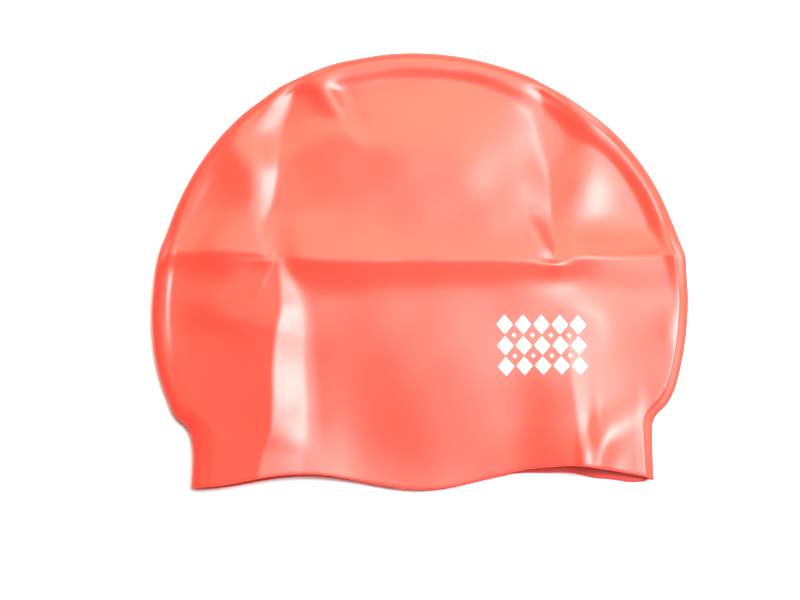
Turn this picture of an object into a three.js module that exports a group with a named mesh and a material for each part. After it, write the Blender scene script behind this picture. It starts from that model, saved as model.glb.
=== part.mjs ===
// A moulded silicone swim cap that lies on a table with its mouth towards -Y: a lower face flat on
// the table and an upper face that stands off it along the folds it was packed in. The two faces
// meet in a stiff rounded bend that runs from one tail over the crown to the other tail.
// Millimetres, +X to the right, +Y towards the crown, +Z up, origin under the middle of the cap.
import * as THREE from 'three';

// Outline, seen from above.
const CAP_WIDTH = 225; // across the cheeks, the widest place
const CHEEK_RADIUS = 36; // the arc that turns the crown in towards the neck
const CHEEK_START_DEG = 16; // where that arc starts, below the widest place
const NECK_INSET = 16.4; // how far each side steps in from the widest place to the neck
const NECK_FILLET = 9; // the hollow corner between cheek and tail
const TAIL_LENGTH = 22.4; // the straight side of a tail, down to the mouth
const TAIL_FLARE = 1; // how far a tail leans out over that length
const MOUTH_WAVE = 6; // how far the mouth's edge rises on each side of its middle lobe
const RIGHT_PULL = 4; // how much higher the right tail lies than the left one
const TAIL_SHIFT = 1.2; // how far both tails lie off to the right
const CROWN_LEAN = 2.5; // how far the top of the crown lies off to the left
const SHOULDER_FULLNESS = 4.7; // how much wider the crown's top is than a round one

// Section through the wall, the rim and the hollow.
const WALL = 1.0; // thickness of the silicone
const RIM_HEIGHT = 4.6; // the rounded bend, over both walls
const RIM_WIDTH = 5.6; // from the outline to the foot of the bend
const RIM_STEP = 1.0; // how far the upper face drops behind the bend
const BAND_WIDTH = 9; // from the outline to where the face proper starts
const PUFF = 6; // how far the upper face then stands up between the folds
const PUFF_REACH = 36; // distance from the outline over which it does so
const LAYER_GAP = 0.9; // least air between the two faces
const FOLD_RISE = 6; // height of the tallest fold
const LOWER_LIFT = 1.4; // how far the lower face is lifted off the table along that fold
const LIFT_FROM = 0.35; // the share of that height from which a fold lifts the lower face at all
const LOBE_REACH = 26; // how far in from the mouth its middle lobe hangs down
const LOBE_WIDTH = 76; // and how wide that lobe is

// How finely the surface is divided.
const COLUMNS_IN_SPAN = 8;
const ROWS_TO_CROWN = 11;
const ROWS = { tail: 2, fillet: 3, cheek: 3, side: 5 };
const GATHER = 0.35; // how much the steps are gathered towards both ends of a span
const CROWN_CORNER_DEG = 135; // where the grid's sides give way to its top edge

// Where the crown starts to lean, and over what height, as shares of its radius.
const LEAN = { from: 0.7, span: 0.25 };

// The round bend is drawn at these angles from its outermost point to its top. Behind it lie the
// points of the band: how far they are from the bend's top towards its foot, how much of RIM_STEP
// they are down, and how much they take of the face's height.
const BEND_ANGLES = [45, 90];
const BAND_POINTS = [
  { out: 0.45, down: 0.45, height: 0.12 },
  { out: 1, down: 1, height: 0.45 },
];

// The folds' places. x is a share of half the width, y of half the height.
const CROSSING = { left: -0.54, right: 0.5 };
const CROWN_END = { left: -0.475, right: 0.462 };
const MOUTH_END = { left: -0.575, right: 0.575 };

// Folds of the upper face. Each runs from one point to another, bowed sideways by a share of the
// width. rise is a share of FOLD_RISE at its start and end, and negative for a valley. left and
// right are the widths of its two flanks, and fadeIn and fadeOut the lengths over which it starts
// and ends, as shares of the width. tip rounds its crest and toe the foot of its flanks.
const FOLDS = [
  { from: [-0.96, 0.026], to: [0.97, 0.026], bow: -0.011, rise: [0.62, 0.62],
    left: 0.17, right: 0.052, tip: 0.008, toe: 0.02, fadeIn: 0.06, fadeOut: 0.06 },
  { from: [CROSSING.left, 0.02], to: [CROWN_END.left, 0.9], bow: 0.012, rise: [-0.5, -0.6],
    left: 0.1, right: 0.06, tip: 0.006, toe: 0.02, fadeIn: 0.07, fadeOut: 0.03 },
  { from: [CROSSING.right, 0.02], to: [CROWN_END.right, 0.9], bow: 0, rise: [-0.6, -0.6],
    left: 0.06, right: 0.09, tip: 0.006, toe: 0.02, fadeIn: 0.07, fadeOut: 0.03 },
  { from: [CROSSING.left, -0.01], to: [MOUTH_END.left, -1], bow: 0, rise: [0.55, 0.4],
    left: 0.12, right: 0.08, tip: 0.008, toe: 0.015, fadeIn: 0.05, fadeOut: 0 },
  { from: [CROSSING.right, -0.01], to: [MOUTH_END.right, -1], bow: 0.035, rise: [0.35, 1],
    left: 0.1, right: 0.12, tip: 0.012, toe: 0.02, fadeIn: 0.08, fadeOut: 0 },
];

const radians = THREE.MathUtils.degToRad;
const lerp = THREE.MathUtils.lerp;
const clamp01 = (v) => Math.min(1, Math.max(0, v));
const ease = (v) => THREE.MathUtils.smoothstep(v, 0, 1);

// Where the arcs of the outline meet, on the right side, with the crown's centre at y = 0.
const crownRadius = CAP_WIDTH / 2;
const cheekStart = -radians(CHEEK_START_DEG);
const cheekCentre = new THREE.Vector2(Math.cos(cheekStart), Math.sin(cheekStart))
  .multiplyScalar(crownRadius - CHEEK_RADIUS);
const neckX = crownRadius - NECK_INSET;
const filletReach = CHEEK_RADIUS + NECK_FILLET;
const filletCentre = new THREE.Vector2(neckX + NECK_FILLET, 0);
filletCentre.y = cheekCentre.y - Math.sqrt(filletReach ** 2 - (filletCentre.x - cheekCentre.x) ** 2);
const cheekEnd = Math.atan2(filletCentre.y - cheekCentre.y, filletCentre.x - cheekCentre.x);

// The whole cap is then moved so that its box is centred on the origin.
const capHeight = crownRadius - filletCentre.y + TAIL_LENGTH;
const crownCentreY = capHeight / 2 - crownRadius;
const mouthLowY = -capHeight / 2;
const halfWidth = CAP_WIDTH / 2;
const halfHeight = capHeight / 2;
const tailTopY = mouthLowY + TAIL_LENGTH;

// The mouth's edge: a wave with its low points at the tails and in the middle.
function mouthY(x) {
  return mouthLowY + MOUTH_WAVE * Math.sin(Math.PI * x / (neckX + TAIL_FLARE)) ** 2;
}

// How the cap lies: its top leans to the left and is fuller than a round one, its tails lie off to
// the right, and the right one is drawn up.
function settle(at) {
  const up = Math.max(0, at.y - crownCentreY) / crownRadius;
  const lean = CROWN_LEAN * ease((up - LEAN.from) / LEAN.span);
  const fuller = 1 + (SHOULDER_FULLNESS / halfWidth) * up ** 2;
  const down = ease((crownCentreY - at.y) / (crownCentreY - tailTopY));
  const right = ease(at.x / (neckX / 2));
  return new THREE.Vector2(at.x * fuller - lean + TAIL_SHIFT * down, at.y + RIGHT_PULL * right * down);
}

// Half the width of the outline at a height y below the crown's centre.
function sideX(y) {
  const down = y - crownCentreY;
  if (down > crownRadius * Math.sin(cheekStart)) return Math.sqrt(crownRadius ** 2 - down ** 2);
  if (down > cheekCentre.y + CHEEK_RADIUS * Math.sin(cheekEnd)) {
    return cheekCentre.x + Math.sqrt(CHEEK_RADIUS ** 2 - (down - cheekCentre.y) ** 2);
  }
  if (down > filletCentre.y) {
    return filletCentre.x - Math.sqrt(NECK_FILLET ** 2 - (down - filletCentre.y) ** 2);
  }
  return neckX + TAIL_FLARE * clamp01((tailTopY - y) / TAIL_LENGTH);
}

// How far a point lies inside the outline, the mouth left out.
function depthInside(x, y) {
  if (y > crownCentreY) return crownRadius - Math.hypot(x, y - crownCentreY);
  return sideX(Math.max(y, mouthLowY)) - Math.abs(x);
}

// |v| with a rounded tip, and max(v, 0) with a rounded corner.
const roundedAbs = (v, radius) => Math.hypot(v, radius) - radius;
const roundedRamp = (v, radius) => (v + Math.hypot(v, radius)) / 2;

// The height of one fold at a point: a tent across the fold, faded in and out along it.
function foldHeight(fold, x, y) {
  const [x0, y0] = [fold.from[0] * halfWidth, fold.from[1] * halfHeight];
  const [x1, y1] = [fold.to[0] * halfWidth, fold.to[1] * halfHeight];
  const length = Math.hypot(x1 - x0, y1 - y0);
  const [dx, dy] = [(x1 - x0) / length, (y1 - y0) / length];
  const along = (x - x0) * dx + (y - y0) * dy;
  const share = clamp01(along / length);
  const bow = fold.bow * CAP_WIDTH * 4 * share * (1 - share);
  const aside = (y - y0) * dx - (x - x0) * dy - bow; // positive to the left of the fold's way
  const flank = CAP_WIDTH * (aside > 0 ? fold.left : fold.right);
  const toe = CAP_WIDTH * fold.toe;
  const inside = flank - roundedAbs(aside, CAP_WIDTH * fold.tip);
  const tent = roundedRamp(inside, toe) / roundedRamp(flank, toe);
  const fadeIn = fold.fadeIn ? ease(along / (fold.fadeIn * CAP_WIDTH)) : 1;
  const fadeOut = fold.fadeOut ? ease((length - along) / (fold.fadeOut * CAP_WIDTH)) : 1;
  return FOLD_RISE * lerp(fold.rise[0], fold.rise[1], share) * tent * fadeIn * fadeOut;
}

// The upper face, above the level behind the rim.
function puffHeight(x, y) {
  const lobe = Math.exp(-(((y - mouthY(x)) / LOBE_REACH) ** 2)) / (1 + (2 * x / LOBE_WIDTH) ** 4);
  const puff = PUFF * ease(depthInside(x, y) / PUFF_REACH) * (1 - lobe);
  return FOLDS.reduce((sum, fold) => sum + foldHeight(fold, x, y), puff);
}

// The outer side of the upper face and of the lower face. The upper one keeps clear of the lower.
const faceLevel = RIM_HEIGHT - RIM_STEP;
const leastTop = 2 * WALL + LAYER_GAP;
function upperZ(x, y, levelHere = faceLevel, share = 1) {
  const wanted = levelHere + share * puffHeight(x, y);
  return leastTop + lowerZ(x, y) + roundedRamp(wanted - leastTop - lowerZ(x, y), LAYER_GAP);
}
function lowerZ(x, y) {
  const ridges = FOLDS.filter((fold) => fold.rise[0] > 0);
  const lift = ridges.reduce((sum, fold) => sum + foldHeight(fold, x, y), 0) / FOLD_RISE;
  const inFromMouth = ease((y - mouthY(x)) / LOBE_REACH);
  return LOWER_LIFT * Math.max(0, lift - LIFT_FROM) * ease(depthInside(x, y) / PUFF_REACH) * inFromMouth;
}

// Evenly divided, but with smaller steps at both ends of a span.
const gathered = (u) => u - GATHER * Math.sin(2 * Math.PI * u) / (2 * Math.PI);

// The right side of the outline from the mouth up to the crown's corner, as rows. Each row has its
// point on the outline, the way inwards there, and its share of the way up to the fold or crown.
function sideRows() {
  const rows = [];
  const arc = (centre, radius, from, to, count, inward) => {
    for (let i = 1; i <= count; i++) {
      const angle = lerp(from, to, i / count);
      const out = new THREE.Vector2(Math.cos(angle), Math.sin(angle));
      const at = out.clone().multiplyScalar(radius).add(centre);
      rows.push({ at: at.add(new THREE.Vector2(0, crownCentreY)), inward: out.multiplyScalar(inward) });
    }
  };
  const foldAngle = Math.asin(-crownCentreY / crownRadius);
  const crown = new THREE.Vector2();
  for (let i = 0; i <= ROWS.tail; i++) {
    const y = lerp(mouthLowY, tailTopY, i / ROWS.tail);
    const at = new THREE.Vector2(sideX(y), y);
    rows.push({ at, inward: new THREE.Vector2(-1, 0), tail: 1 - i / ROWS.tail });
  }
  arc(filletCentre, NECK_FILLET, Math.PI, Math.PI + cheekEnd, ROWS.fillet, 1);
  arc(cheekCentre, CHEEK_RADIUS, cheekEnd, cheekStart, ROWS.cheek, -1);
  arc(crown, crownRadius, cheekStart, foldAngle, ROWS.side, -1);
  rows.foldRow = rows.length - 1;
  const corner = radians(180 - CROWN_CORNER_DEG);
  for (let i = 1; i <= ROWS_TO_CROWN; i++) {
    const angle = lerp(foldAngle, corner, gathered(i / ROWS_TO_CROWN));
    arc(crown, crownRadius, angle, angle, 1, -1);
  }
  return rows;
}

// A point of a row, `inside` millimetres in from the outline. In the tails the rows bend to end on
// the mouth's edge.
function rowPoint(row, inside, mirror) {
  const at = row.at.clone().addScaledVector(row.inward, inside);
  at.x *= mirror;
  if (row.tail !== undefined) at.y = lerp(tailTopY, mouthY(at.x), row.tail);
  return at;
}

// The column lines between the rims: x at the mouth and at the fold, and the angle at the crown.
function columnLines(rows) {
  const bandRadius = crownRadius - BAND_WIDTH;
  const crownAngle = (share) => Math.acos(share * halfWidth / bandRadius);
  const [mouthX, foldX] = [rows[0], rows[rows.foldRow]].map((row) => rowPoint(row, BAND_WIDTH, 1).x);
  const corner = radians(CROWN_CORNER_DEG);
  const stations = [
    [-mouthX, -foldX, corner],
    [MOUTH_END.left * halfWidth, CROSSING.left * halfWidth, crownAngle(CROWN_END.left)],
    [0, 0, Math.PI / 2],
    [MOUTH_END.right * halfWidth, CROSSING.right * halfWidth, crownAngle(CROWN_END.right)],
    [mouthX, foldX, Math.PI - corner],
  ];
  const lines = [];
  for (let span = 0; span + 1 < stations.length; span++) {
    for (let i = span ? 1 : 0; i <= COLUMNS_IN_SPAN; i++) {
      const u = gathered(i / COLUMNS_IN_SPAN);
      const [mouth, fold, crown] = stations[span].map((v, k) => lerp(v, stations[span + 1][k], u));
      const pullLeft = span === 0 ? 1 - u : 0;
      const pullRight = span === stations.length - 2 ? u : 0;
      lines.push({ mouth, fold, crown, pullLeft, pullRight });
    }
  }
  return lines;
}

// Plan positions of the face inside the band, grid[row][column]: straight columns from the mouth to
// the fold and on to the crown, and near each side bent to follow the rim.
function facePlan(rows, lines) {
  const bandRadius = crownRadius - BAND_WIDTH;
  const last = rows.length - 1;
  const edge = (row, mirror) => rowPoint(row, BAND_WIDTH, mirror);
  return rows.map((row, j) => {
    const lower = j <= rows.foldRow;
    const [low, high] = lower ? [0, rows.foldRow] : [rows.foldRow, last];
    const yOf = (k) => edge(rows[k], -1).y;
    const up = (yOf(j) - yOf(low)) / (yOf(high) - yOf(low));
    const bend = (mirror) => {
      const chord = edge(rows[low], mirror).lerp(edge(rows[high], mirror), up);
      return edge(row, mirror).sub(chord);
    };
    const [bendLeft, bendRight] = [bend(-1), bend(1)];
    return lines.map((line) => {
      const mouth = new THREE.Vector2(line.mouth, mouthY(line.mouth));
      const fold = new THREE.Vector2(line.fold, yOf(rows.foldRow));
      const crown = new THREE.Vector2(Math.cos(line.crown), Math.sin(line.crown))
        .multiplyScalar(bandRadius).add(new THREE.Vector2(0, crownCentreY));
      const at = (lower ? mouth : fold).clone().lerp(lower ? fold : crown, up);
      return at.addScaledVector(bendLeft, line.pullLeft).addScaledVector(bendRight, line.pullRight);
    });
  });
}

// The section of the bend and of the band behind it, from the outline inwards: how far inside the
// outline each line of points lies, its level, and how much it takes of the face's height.
function rimSection() {
  const round = RIM_HEIGHT / 2;
  const bend = BEND_ANGLES.map(radians).map((angle) => ({
    inside: round * (1 - Math.cos(angle)), level: round * (1 + Math.sin(angle)), height: 0 }));
  const band = BAND_POINTS.map(({ out, down, height }) => ({
    inside: lerp(round, RIM_WIDTH, out), level: RIM_HEIGHT - RIM_STEP * down, height }));
  const outermost = { inside: 0, level: round, height: 0 };
  const under = bend.map(({ inside, level }) => ({ inside, level: RIM_HEIGHT - level, height: 0 }));
  return [...band.reverse(), ...[...bend].reverse(), outermost, ...under];
}

// One smooth sheet for the outside of the whole cap, open at the mouth, as points and triangles.
function outerSheet() {
  const rows = sideRows();
  const lines = columnLines(rows);
  const plan = facePlan(rows, lines);
  const points = [];
  const triangles = [];
  const section = rimSection();
  const add = (at, z) => {
    const lying = settle(at);
    return points.push(new THREE.Vector3(lying.x, lying.y, z)) - 1;
  };
  const quad = (a, b, c, d) => triangles.push([a, b, c], [a, c, d]);

  const face = (height) => plan.map((row) => row.map((at) => add(at, height(at.x, at.y))));
  const upper = face((x, y) => upperZ(x, y));
  const lower = face(lowerZ);
  for (let j = 0; j + 1 < plan.length; j++) {
    for (let i = 0; i + 1 < lines.length; i++) {
      quad(upper[j][i], upper[j][i + 1], upper[j + 1][i + 1], upper[j + 1][i]);
      quad(lower[j][i], lower[j + 1][i], lower[j + 1][i + 1], lower[j][i + 1]);
    }
  }

  // The stations round the rim, from the left tail over the crown to the right tail.
  const last = rows.length - 1;
  const end = lines.length - 1;
  const stations = [
    ...rows.map((row, j) => ({ row, mirror: -1, cell: [j, 0] })),
    ...lines.slice(1, -1).map((line, i) => {
      const out = new THREE.Vector2(Math.cos(line.crown), Math.sin(line.crown));
      const at = out.clone().multiplyScalar(crownRadius).add(new THREE.Vector2(0, crownCentreY));
      return { row: { at, inward: out.negate() }, mirror: 1, cell: [last, i + 1] };
    }),
    ...rows.map((row, j) => ({ row, mirror: 1, cell: [j, end] })).reverse(),
  ];
  const rings = stations.map(({ row, mirror, cell: [j, i] }) => {
    const ring = section.map(({ inside, level, height }) => {
      const at = rowPoint(row, inside, mirror);
      return add(at, height ? upperZ(at.x, at.y, level, height) : level);
    });
    return [upper[j][i], ...ring, lower[j][i]];
  });
  for (let k = 0; k + 1 < rings.length; k++) {
    for (let n = 0; n + 1 < rings[k].length; n++) {
      quad(rings[k][n], rings[k + 1][n], rings[k + 1][n + 1], rings[k][n + 1]);
    }
  }

  // The mouth's edge, once round: out along the upper face, back along the lower.
  const mouth = [...upper[0], ...rings.at(-1).slice(1, -1), ...[...lower[0]].reverse(),
    ...rings[0].slice(1, -1).reverse()];
  return { points, triangles, mouth };
}

// The sheet given its thickness: the same sheet again one wall further in, joined at the mouth.
function thicken({ points, triangles, mouth }) {
  const sheet = new THREE.BufferGeometry().setFromPoints(points);
  sheet.setIndex(triangles.flat());
  sheet.computeVertexNormals();
  const normal = sheet.getAttribute('normal');
  const inner = points.map((at, i) =>
    at.clone().addScaledVector(new THREE.Vector3().fromBufferAttribute(normal, i), -WALL));
  const count = points.length;
  const closed = [...triangles, ...triangles.map(([a, b, c]) => [a + count, c + count, b + count])];
  mouth.forEach((a, k) => {
    const b = mouth[(k + 1) % mouth.length];
    closed.push([a, a + count, b + count], [a, b + count, b]);
  });
  const shell = new THREE.BufferGeometry().setFromPoints([...points, ...inner]);
  shell.setIndex(closed.flat());
  shell.computeVertexNormals();
  return shell;
}

function makeCapShell() {
  const silicone = new THREE.MeshStandardMaterial({ color: 0xf5523f, roughness: 0.35, metalness: 0 });
  const shell = new THREE.Mesh(thicken(outerSheet()), silicone);
  shell.name = 'cap_shell';
  return shell;
}

const swimCap = new THREE.Group();
swimCap.name = 'swim_cap';
swimCap.add(makeCapShell());

export default swimCap;
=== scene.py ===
"""A silicone swim cap that lies folded flat on a pale floor, its mouth towards -Y.

The cap is one moulded skin. Its outline, rim, hollow and folds are functions of a place in the
plan, worked out with numpy, in millimetres as on a drawing. They become metres when a mesh is made.
"""
import math
from typing import NamedTuple

import bmesh
import bpy
import numpy as np
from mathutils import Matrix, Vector


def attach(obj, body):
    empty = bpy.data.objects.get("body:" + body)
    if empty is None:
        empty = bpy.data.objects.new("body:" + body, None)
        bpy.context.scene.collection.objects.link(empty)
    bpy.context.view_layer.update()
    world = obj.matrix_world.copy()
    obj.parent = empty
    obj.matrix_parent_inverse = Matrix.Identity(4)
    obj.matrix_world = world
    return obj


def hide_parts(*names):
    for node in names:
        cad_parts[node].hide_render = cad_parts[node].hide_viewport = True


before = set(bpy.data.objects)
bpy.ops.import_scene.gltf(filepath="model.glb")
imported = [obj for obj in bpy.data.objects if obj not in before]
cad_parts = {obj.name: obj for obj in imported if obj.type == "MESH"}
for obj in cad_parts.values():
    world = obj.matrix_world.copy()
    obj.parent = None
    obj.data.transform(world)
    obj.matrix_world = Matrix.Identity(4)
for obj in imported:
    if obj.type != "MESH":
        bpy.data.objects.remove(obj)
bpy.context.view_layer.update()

bl_info = {
    "name": "Swim Cap",
    "version": (1, 0, 0),
    "blender": (4, 5, 0),
    "location": "View3D > Sidebar > Swim Cap",
    "description": "A silicone swim cap lying flat, with its folds, its print and a pale studio",
    "category": "Add Mesh",
}

MM = 0.001

# The outline, in millimetres, as it leaves the mould.
CHEEK_RADIUS = 36.0
CHEEK_START = math.radians(-16)
NECK_INSET = 16.4
NECK_FILLET = 9.0
TAIL_LENGTH = 22.4
TAIL_FLARE = 1.0
MOUTH_WAVE = 6.0
CROWN_CORNER = math.radians(135)

# How it lies: the right tail drawn up, both tails shifted right, the crown leaning left.
RIGHT_PULL = 4.0
TAIL_SHIFT = 1.2
CROWN_LEAN = 2.5
SHOULDER_FULLNESS = 4.7
LEAN_FROM = 0.7
LEAN_SPAN = 0.25

# The rim's bend, the middle lobe of the mouth that is held down, and the lift of the lower face.
BEND_WIDTH = 4.2
FOLD_FROM = 1.0
LOBE_REACH = 34.0
LOBE_WIDTH = 88.0
LOBE_SHIFT = 6.0
LOBE_POWER = 8
LOWER_LIFT = 1.4
LIFT_FROM = 0.35
LIFT_REACH = 36.0
RIDGE_RISE = 6.0

# How finely the skin is divided. The band behind the rim and the weld are in millimetres.
SPAN_COLUMNS = (34, 46, 46, 34)
ROWS = {"tail": 20, "fillet": 8, "cheek": 26, "side": 30, "crown": 92}
BAND_STEPS = 9
BEND_STEPS = 10
BAND_WIDTH = 9.0
GATHER = 0.35
LOWER_RINGS = 10
INNER_RINGS = 24
LIP_STEPS = 5
WELD = 0.002

# How far ahead a fold's line is looked at for its slope, as a share of the half size.
LOOK_AHEAD = 0.01

# Where the grid's columns run, so that they follow the folds: shares of half the width.
COLUMN_STOPS = (
    {"mouth": -0.575, "fold": -0.54, "crown": -0.475},
    {"mouth": 0.0, "fold": 0.0, "crown": 0.0},
    {"mouth": 0.575, "fold": 0.5, "crown": 0.462},
)

# The ripples' directions in radians, lengths in millimetres and starts in radians.
RIPPLES = ((0.3, 27.0, 0.4), (1.35, 35.0, 1.9), (2.3, 21.0, 3.1))
RIPPLE_HEIGHT = 0.05

# How the outline gives way: direction from the crown's middle in degrees, millimetres outwards.
OUTLINE = (
    (-44, 0.0), (-36, -1.4), (-28, -1.3), (-22, 0.0), (-16, -1.0), (-4, -0.7), (2, 0.0), (8, 0.6),
    (12, 1.4), (15, 0.7), (20, 0.1), (28, 0.0), (38, -0.3), (50, -0.7), (57, -0.4), (62.5, -0.2),
    (65, 0.1), (72, 0.0), (84, 0.1), (92, 0.2), (98, 0.2), (104, 0.1), (108, 0.4), (114, 0.2),
    (118.5, 0.1), (121, 0.3), (126, 0.0), (132, 0.4), (146, -0.2), (158, -0.5), (163, -0.4),
    (167, 0.4), (176, 0.5), (184, 0.7), (192, 1.1), (200, 1.5), (204, 3.1), (208, 1.9),
    (212, -0.2), (218, -0.5), (226, 0.2), (236, 0.6),
)
OUTLINE_POWER = 4

# How far the lower face shows in front of the upper one at the mouth: share of half the width,
# millimetres.
LOWER_EDGE = ((0.31, 0.0), (0.37, 0.6), (0.44, 1.3), (0.55, 1.7), (0.63, 2.6), (0.70, 2.6),
              (0.77, 2.4), (0.82, 1.2), (0.85, 0.0))

# How the mouth's edge is drawn up at the right: share of half the width, millimetres.
MOUTH_EDGE = ((0.0, 0.0), (0.1, -0.2), (0.21, -0.8), (0.29, -1.5), (0.36, -1.5), (0.44, -1.3),
              (0.55, 0.0), (0.63, 0.6), (0.70, 1.2), (0.78, 0.7), (0.83, -0.2), (0.87, -1.5))

# The print: its middle as shares of half the width and half the height, its columns and rows, their
# pitch and the lozenge in millimetres, a small one as a share of a large one, how far it stands out
# and reaches in in millimetres, and the cells along a lozenge's side.
PRINT_PLACE = (0.446, -0.38)
PRINT_COLUMNS = 5
PRINT_ROWS = 3
PRINT_PITCH = (7.7, 9.6)
LOZENGE = (6.9, 8.8)
PRINT_SMALL = 0.26
PRINT_RAISE = 0.1
PRINT_SINK = 0.3
PRINT_CELLS = 8

# The rim, by direction from the crown's middle. Columns: the direction in degrees, the step down
# behind the crest, where the step starts and ends, where the swell starts and how far it reaches,
# all in millimetres in from the outline, and the power of the bend's section.
RIM = (
    (-62, 0.1, 5.0, 9.0, 8, 80, 1.15),
    (-27, 0.1, 4.8, 8.5, 9, 80, 1.15),
    (-6, 0.2, 4.8, 8.5, 9, 76, 1.15),
    (8, 0.4, 4.8, 9.0, 10, 60, 1.15),
    (17, 2.3, 4.4, 11.0, 11, 52, 1.2),
    (27, 2.5, 4.4, 11.0, 11, 50, 1.2),
    (40, 1.6, 4.8, 11.0, 11, 50, 1.3),
    (50, 2.2, 4.8, 15.0, 14, 50, 1.4),
    (60, 2.4, 4.8, 17.0, 15, 50, 1.5),
    (72, 2.2, 5.0, 13.0, 12, 46, 1.5),
    (90, 2.2, 5.5, 13.0, 11, 42, 1.5),
    (104, 2.2, 5.0, 13.0, 10, 36, 1.5),
    (108.5, 2.2, 5.0, 12.5, 9, 34, 1.5),
    (111.5, 0.2, 5.0, 11.0, 8, 28, 1.5),
    (116.5, 0.9, 4.8, 9.0, 7, 24, 1.5),
    (119.5, 0.4, 4.8, 9.0, 7, 24, 1.5),
    (135, 0.3, 5.0, 9.0, 7, 22, 1.5),
    (157, 0.3, 5.5, 9.5, 8, 22, 1.5),
    (166, 0.3, 5.6, 7.8, 7, 24, 1.5),
    (171, 0.7, 5.6, 7.8, 7, 30, 1.5),
    (182, 0.5, 5.6, 7.8, 7, 24, 1.5),
    (190, 0.1, 5.6, 7.8, 7, 50, 1.5),
    (204, 0.0, 5.6, 8.0, 6, 76, 1.5),
    (242, 0.0, 5.0, 8.0, 6, 80, 1.5),
)


class Fold(NamedTuple):
    """A fold of the upper face: a tent across a line that runs through knots along x or y.

    Each knot holds its place along the axis and its place across it, as shares of the half width
    and the half height, then in millimetres the rise and the widths of the flanks, towards the
    lower side and towards the higher one. In millimetres too are the rounding of the crest (tip)
    and of the foot (toe), the way in from the outline over which the fold begins (rim), and the
    way past its ends over which it fades. The hollow is a power for each flank. A fold that lifts
    takes the lower face along.
    """
    axis: str
    tip: float
    toe: float
    knots: tuple
    hollow: tuple = (1, 1)
    rim: float = 8.0
    fade: float = 6.0
    lifts: bool = False


class Dent(NamedTuple):
    """A soft oval swelling or dent of the upper face.

    Its place is in shares of the half width and the half height, its size in shares of the width,
    its turn in degrees, its rise and the way in over which it begins (rim) in millimetres.
    """
    at: tuple
    size: tuple
    rise: float
    turn: float = 0.0
    rim: float = 8.0


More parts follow.
